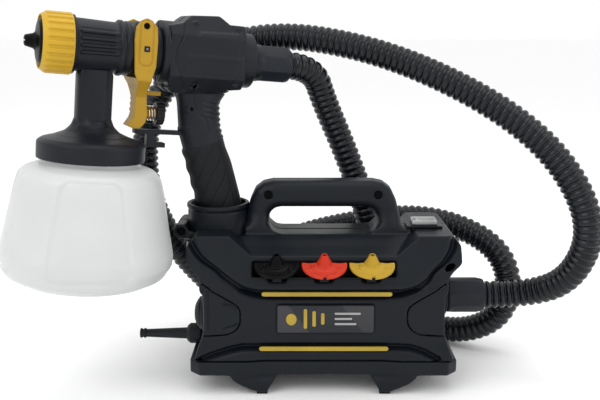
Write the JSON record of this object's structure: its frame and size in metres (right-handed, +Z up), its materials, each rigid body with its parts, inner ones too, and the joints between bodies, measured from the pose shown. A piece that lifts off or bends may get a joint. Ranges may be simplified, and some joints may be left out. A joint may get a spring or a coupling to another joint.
{
  "type": "turbine paint sprayer",
  "caption": "Carrying base with blower, holder and nozzle tray, a trigger spray gun with a screw-on cup, and a corrugated air hose.",
  "frame": {"origin": "middle of the footprint of base and gun together, on the floor", "axes": "+Z up, +X towards the base's hose outlet, -Y the front with the nozzle tray"},
  "size_m": [0.551, 0.3851, 0.3508],
  "materials": {
    "base_shell": "satin moulded",
    "gun_shell": "satin moulded",
    "cuff": "satin moulded",
    "hose": "ribbed, slightly glossy",
    "grip_rubber": "matte",
    "pad_rubber": "matte",
    "cord_rubber": "matte",
    "seal": "matte",
    "screw_black": "black",
    "screw_steel": "satin",
    "spring_wire": "bright",
    "tray": "matte",
    "badge": "glossy",
    "accent": "satin",
    "dark_plastic": "satin",
    "switch_rocker": "translucent grey",
    "foam": "open foam",
    "cap_black": "satin",
    "cap_red": "satin",
    "cap_yellow": "satin",
    "nut_yellow": "satin",
    "trigger_yellow": "satin",
    "fluid_metal": "turned",
    "cup_plastic": "translucent natural",
    "tube_plastic": "natural",
    "blower_case": "moulded",
    "motor_iron": "laminated",
    "fan_metal": "stamped",
    "bearing_steel": "ground"
  },
  "bodies": {
    "base": {"front_housing": "base_shell", "rear_housing": "base_shell", "base_tray": "base_shell", "foot_pads": "pad_rubber", "housing_screws": "screw_black", "nozzle_tray": "tray", "badge_plate": "badge", "accent_bars": "accent", "switch_plate": "base_shell", "switch_body": "dark_plastic", "holder_sleeve": "base_shell", "outlet_panel": "base_shell", "filter_foam": "foam", "outlet_socket": "base_shell", "cord_relief": "cord_rubber", "ring_lugs": "base_shell", "fan_shroud": "blower_case", "motor_can": "blower_case", "stator": "motor_iron", "bearings": "bearing_steel", "motor_mounts": "pad_rubber", "outlet_duct": "blower_case", "air_hose": "hose"},
    "rotor": {"rotor": "motor_iron", "fans": "fan_metal"},
    "rocker": {"rocker": "switch_rocker"},
    "outlet_cuff": {"outlet_cuff": "cuff"},
    "filter_cover": {"filter_cover": "base_shell"},
    "cap_black": {"spare_cap_black": "cap_black"},
    "cap_red": {"spare_cap_red": "cap_red"},
    "cap_yellow": {"spare_cap_yellow": "cap_yellow"},
    "ring_left": {"d_ring_left": "spring_wire"},
    "ring_right": {"d_ring_right": "spring_wire"},
    "gun": {"gun_shell_left": "gun_shell", "gun_shell_right": "gun_shell", "gun_screws": "screw_black", "grip_cover": "grip_rubber", "trigger_guard": "gun_shell", "neck_tube": "gun_shell", "pivot_pin": "screw_black", "spray_head": "gun_shell", "head_flange": "gun_shell", "fluid_body": "fluid_metal", "packing_nut": "fluid_metal", "fluid_nozzle": "fluid_metal", "needle_spring": "spring_wire", "cup_lid": "gun_shell", "pickup_tube": "tube_plastic", "gun_spigot": "gun_shell"},
    "gun_cuff": {"gun_cuff": "cuff"},
    "trigger": {"trigger": "trigger_yellow", "cross_screw": "screw_steel", "flow_screw": "trigger_yellow", "flow_spring": "spring_wire"},
    "flow_knob": {"flow_knob": "dark_plastic"},
    "needle": {"needle": "fluid_metal"},
    "air_cap": {"air_cap": "cap_black"},
    "retaining_nut": {"retaining_nut": "nut_yellow"},
    "lid_gasket": {"lid_gasket": "seal"},
    "cup": {"cup": "cup_plastic"}
  },
  "joints": [
    {"name": "gun_lift", "type": "slide", "parent": "base", "child": "gun", "axis": [-0.2193, -0.1022, 0.9703], "range_m": [0, 0.075]},
    {"name": "trigger_pull", "type": "hinge", "parent": "gun", "child": "trigger", "pos_m": [-0.09697, 0.00514, 0.33741], "axis": [0.4226, -0.9063, 0], "range_deg": [0, 10], "stiffness_Nm_per_rad": 1.5, "springref_deg": -5.73},
    {"name": "needle_slide", "type": "slide", "parent": "gun", "child": "needle", "axis": [0.9024, 0.4208, -0.0924], "range_m": [0, 0.0036], "deforming": ["needle_spring"]},
    {"name": "flow_knob_turn", "type": "hinge", "parent": "trigger", "child": "flow_knob", "pos_m": [-0.08705, 0.00977, 0.25947], "axis": [0.9024, 0.4208, -0.0924], "range_deg": [0, 720]},
    {"name": "nut_turn", "type": "hinge", "parent": "gun", "child": "retaining_nut", "pos_m": [-0.16087, -0.02466, 0.32327], "axis": [0.9024, 0.4208, -0.0924], "range_deg": [0, 720]},
    {"name": "air_cap_turn", "type": "hinge", "parent": "gun", "child": "air_cap", "pos_m": [-0.17711, -0.03223, 0.32493], "axis": [0.9024, 0.4208, -0.0924], "range_deg": [0, 90]},
    {"name": "cup_turn", "type": "hinge", "parent": "gun", "child": "lid_gasket", "pos_m": [-0.14127, -0.01551, 0.22083], "axis": [0.0837, 0.039, 0.9957], "range_deg": [0, 120]},
    {"name": "cup_drop", "type": "slide", "parent": "lid_gasket", "child": "cup", "axis": [-0.0837, -0.039, -0.9957], "range_m": [0, 0.06]},
    {"name": "gun_cuff_turn", "type": "hinge", "parent": "gun", "child": "gun_cuff", "pos_m": [0.01756, 0.05855, 0.30199], "axis": [0.9024, 0.4208, -0.0924], "continuous": true},
    {"name": "outlet_cuff_turn", "type": "hinge", "parent": "base", "child": "outlet_cuff", "pos_m": [0.208, 0.0345, 0.078], "axis": [1, 0, 0], "range_deg": [0, 45]},
    {"name": "rotor_spin", "type": "hinge", "parent": "base", "child": "rotor", "pos_m": [0.068, 0.0345, 0.078], "axis": [1, 0, 0], "continuous": true},
    {"name": "rocker_tip", "type": "hinge", "parent": "base", "child": "rocker", "pos_m": [0.164, 0.0225, 0.149], "axis": [0, -1, 0], "range_deg": [0, 16]},
    {"name": "filter_cover_pull", "type": "slide", "parent": "base", "child": "filter_cover", "axis": [-1, 0, 0], "range_m": [0, 0.018]},
    {"name": "cap_black_out", "type": "slide", "parent": "base", "child": "cap_black", "axis": [0, -0.342, 0.9397], "range_m": [0, 0.03]},
    {"name": "cap_red_out", "type": "slide", "parent": "base", "child": "cap_red", "axis": [0, -0.342, 0.9397], "range_m": [0, 0.03]},
    {"name": "cap_yellow_out", "type": "slide", "parent": "base", "child": "cap_yellow", "axis": [0, -0.342, 0.9397], "range_m": [0, 0.03]},
    {"name": "ring_left_swing", "type": "hinge", "parent": "base", "child": "ring_left", "pos_m": [-0.062, 0.0345, 0.131], "axis": [0, 1, 0], "range_deg": [0, 45]},
    {"name": "ring_right_swing", "type": "hinge", "parent": "base", "child": "ring_right", "pos_m": [0.198, 0.0345, 0.131], "axis": [0, -1, 0], "range_deg": [0, 45]}
  ],
  "couplings": [
    {"joint": "needle_slide", "follows": "trigger_pull", "m_per_rad": 0.0196}
  ]
}
